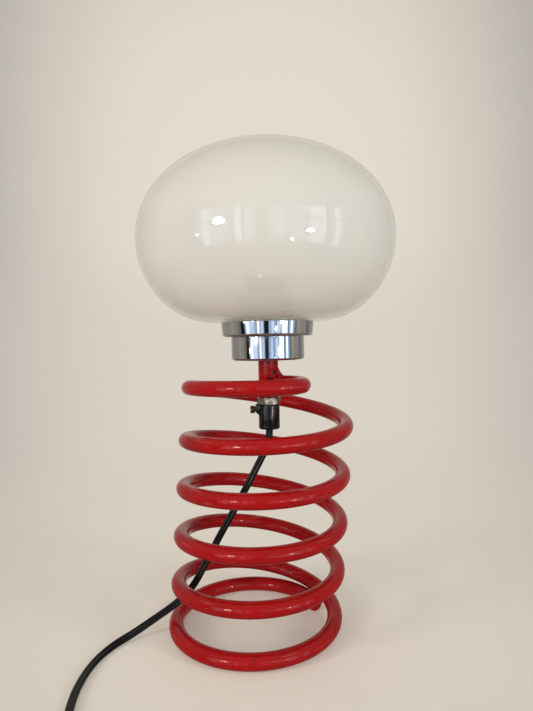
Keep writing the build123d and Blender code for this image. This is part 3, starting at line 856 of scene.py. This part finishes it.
def world():
    """The backdrop as the camera sees it, and the room that the lamp is lit by and reflects: grey
    walls, with a row of windows and dark gaps behind the camera."""
    made = bpy.data.worlds.new("room")
    bpy.context.scene.world = made
    made.use_nodes = True
    tree = made.node_tree
    back = tree.nodes["Background"]
    place = tree.nodes.new("ShaderNodeTexCoord").outputs["Generated"]

    def node(kind, inputs, **settings):
        new = tree.nodes.new("ShaderNode" + kind)
        for key, value in settings.items():
            setattr(new, key, value)
        for socket, value in inputs.items():
            if hasattr(value, "is_output"):
                tree.links.new(value, new.inputs[socket])
            else:
                new.inputs[socket].default_value = value
        return new

    def ramp(value, low, high):
        return node("MapRange", {"Value": value, "From Min": low, "From Max": high},
                    interpolation_type="SMOOTHSTEP").outputs["Result"]

    def mix(share, first, second, blend="MIX"):
        colours = {"Factor": share, 6: first, 7: second}
        return node("Mix", colours, data_type="RGBA", blend_type=blend).outputs[2]

    split = node("SeparateXYZ", {"Vector": place}).outputs
    toward = node("VectorMath", {0: place, 1: (0, cos(radians(13)), sin(radians(13)))},
                  operation="DOT_PRODUCT").outputs["Value"]
    wall = mix(ramp(toward, 0.80, 1.0), (*BACKDROP_FAR, 1), (*BACKDROP_NEAR, 1))
    even = mix(ramp(split["Z"], -0.005, 0.22), (*HORIZON, 1), wall)
    level = node("VectorMath", {0: place, 1: (1, 1, 0)}, operation="MULTIPLY").outputs["Vector"]
    heading = node("VectorMath", {0: level}, operation="NORMALIZE").outputs["Vector"]
    ahead = node("SeparateXYZ", {"Vector": heading}).outputs["Y"]
    backdrop = mix(ramp(ahead, SIDE_START, SIDE_END), even, (*SIDE_SHADE, 1), "MULTIPLY")

    behind = node("Math", {0: split["Y"], 1: -1.0}, operation="MULTIPLY").outputs["Value"]
    bearing = node("Math", {0: split["X"], 1: behind}, operation="ARCTAN2").outputs["Value"]
    share = node("MapRange", {"Value": bearing, "From Min": -pi, "From Max": pi}).outputs["Result"]
    stripes = tree.nodes.new("ShaderNodeValToRGB")
    stripes.color_ramp.interpolation = "CONSTANT"
    marks = stripes.color_ramp.elements
    while len(marks) > 1:
        marks.remove(marks[-1])
    marks[0].color = (*ROOM[0][1], 1)
    for start, colour in ROOM[1:]:
        marks.new((start + 180) / 360).color = (*colour, 1)
    tree.links.new(share, stripes.inputs["Fac"])
    above = ramp(split["Z"], WINDOW_FOOT - WINDOW_EDGE, WINDOW_FOOT)
    below = ramp(split["Z"], WINDOW_TOP + WINDOW_EDGE, WINDOW_TOP)
    band = node("Math", {0: above, 1: below}, operation="MULTIPLY").outputs["Value"]
    from_bar = node("Math", {0: split["Z"], 1: CROSSBAR}, operation="SUBTRACT").outputs["Value"]
    beside_bar = ramp(node("Math", {0: from_bar}, operation="ABSOLUTE").outputs["Value"], 0.008, 0.022)
    band = node("Math", {0: band, 1: beside_bar}, operation="MULTIPLY").outputs["Value"]
    ray = node("LightPath", {}).outputs
    lower = mix(ray["Is Diffuse Ray"], (*ROOM_LOW, 1), (*BOUNCE, 1))
    upper = mix(ramp(split["Z"], -0.3, 0.6), lower, (*ROOM_HIGH, 1))
    front = ramp(split["Y"], 0.70, 0.98)
    room = mix(band, upper, stripes.outputs["Color"])
    room = mix(front, room, backdrop)
    tree.links.new(mix(ray["Is Camera Ray"], room, backdrop), back.inputs["Color"])
    back.inputs["Strength"].default_value = 1.0


def light(name, place, aim, size, power, colour, mirrored=True):
    """An oval light. One that isn't mirrored lights the lamp without showing in its gloss."""
    lamp = bpy.data.lights.new(name, "AREA")
    lamp.shape = "ELLIPSE"
    lamp.size, lamp.size_y = size
    lamp.energy = power
    lamp.color = colour
    obj = bpy.data.objects.new(name, lamp)
    obj.location = place
    obj.rotation_euler = (Vector(aim) - Vector(place)).to_track_quat("-Z", "Y").to_euler()
    obj.visible_glossy = mirrored
    bpy.context.scene.collection.objects.link(obj)


def lights():
    """Four small warm lamps behind the camera that show as highlights, and soft light from
    both sides and the front that doesn't."""
    middle = (0, 0, 0.2)
    light("left_lamp", (-1.19, -1.57, 0.45), middle, (0.34, 0.26), 9.0, (1.0, 0.86, 0.64))
    light("right_lamp", (0.68, -0.95, 0.12), middle, (0.12, 0.075), 1.3, (1.0, 0.88, 0.68))
    light("near_lamp", (0.19, -0.52, 0.092), middle, (0.035, 0.028), 0.07, (1.0, 0.88, 0.68))
    light("low_lamp", (-0.97, -0.66, 0.14), middle, (0.05, 0.04), 0.2, (1.0, 0.88, 0.68))
    light("key_left", (-1.8, -1.0, 1.0), middle, (0.6, 0.6), 15, (1.0, 0.95, 0.87), False)
    light("key_right", (1.9, -1.1, 0.9), middle, (0.6, 0.6), 16, (1.0, 0.97, 0.93), False)
    light("fill_front", (0.1, -2.4, 0.4), middle, (1.8, 0.8), 7, (1.0, 0.97, 0.92), False)


def camera():
    """Looks a little down along +Y, with the slight roll that the lamp was seen with."""
    made = bpy.data.cameras.new("camera")
    made.lens = LENS
    made.sensor_width = 36
    made.clip_start = 0.01
    obj = bpy.data.objects.new("camera", made)
    turn = Matrix.Rotation(radians(CAMERA_ROLL), 3, "Y") @ Matrix.Rotation(radians(CAMERA_PITCH), 3, "X")
    right, ahead, up = turn.transposed() @ Vector((1, 0, 0)), turn.transposed() @ Vector((0, 1, 0)), \
        turn.transposed() @ Vector((0, 0, 1))
    aim = Vector((0, 0, CAMERA_AIM))
    place = aim - right * CAMERA_SIDE - ahead * CAMERA_DISTANCE - up * CAMERA_RISE
    obj.matrix_world = Matrix.Translation(place) @ Matrix((right, up, -ahead)).transposed().to_4x4()
    bpy.context.scene.collection.objects.link(obj)
    bpy.context.scene.camera = obj


# ---- the whole lamp ------------------------------------------------------------------------
def cad_materials(black, zinc_plate):
    """Materials for the CAD nodes that keep their own shape."""
    holder = plain("holder_plastic", (0.62, 0.60, 0.56), 0.45)
    ceramic = plain("holder_ceramic", (0.75, 0.73, 0.69), 0.6, grain=700)
    brass = plain("brass", (0.72, 0.52, 0.24), 0.3, Metallic=1.0)
    given = {
        black: ("plug_body", "switch_upper", "switch_lower"),
        plain("rocker_plastic", (0.075, 0.075, 0.08), 0.25, spread=0.2): ("switch_rocker",),
        zinc_plate: ("lower_washer", "lower_nut", "inner_nut", "threaded_tube", "switch_screw_left",
                     "switch_screw_right"),
        plain("gasket_rubber", (0.03, 0.03, 0.03), 0.8): ("neck_gasket",),
        holder: ("socket_base", "socket_skirt"),
        ceramic: ("socket_core",),
        brass: ("screw_shell", "centre_contact"),
        plain("solder", (0.6, 0.6, 0.6), 0.35, Metallic=1.0): ("bulb_contact",),
        plain("black_glass", (0.02, 0.02, 0.03), 0.15): ("bulb_insulator",),
        plain("cap_metal", (0.75, 0.75, 0.76), 0.25, Metallic=1.0): ("bulb_cap",),
        plain("bulb_white", (0.88, 0.88, 0.86), 0.25, grain=120, spread=0.06): ("bulb_glass",),
        plain("browned_steel", (0.12, 0.10, 0.08), 0.35, Metallic=1.0): ("grip_screw",),
        pin_metal(): ("plug_pin_left", "plug_pin_right"),
        plain("wire_brown", (0.12, 0.05, 0.02), 0.5): ("wire_left",),
        plain("wire_blue", (0.03, 0.09, 0.30), 0.5): ("wire_right",),
    }
    for material, names in given.items():
        for name in names:
            paint(nodes[name], material)


def build():
    red = red_paint()
    plate = chrome()
    black = plain("black_plastic", (0.006, 0.006, 0.007), 0.2, spread=0.3, Specular_IOR_Level=0.3,
                  Coat_Weight=0.15, Coat_Roughness=0.1)
    coil_base(red)
    top_weld(red)
    foot_weld(red)
    post(red)
    chrome_cups(plate)
    globe(milk_glass())
    cord_grip(black)
    cad_materials(black, zinc())
    relief = plug_relief(black)
    tie = cord_tie(cloth())
    lead = plain("cord_cover", (0.004, 0.004, 0.005), 0.34, grain=600, spread=0.3, depth=0.00004,
                 Specular_IOR_Level=0.25)
    cord(lead)


bpy.context.scene.view_settings.view_transform = "Standard"
build()
floor()
world()
lights()
camera()
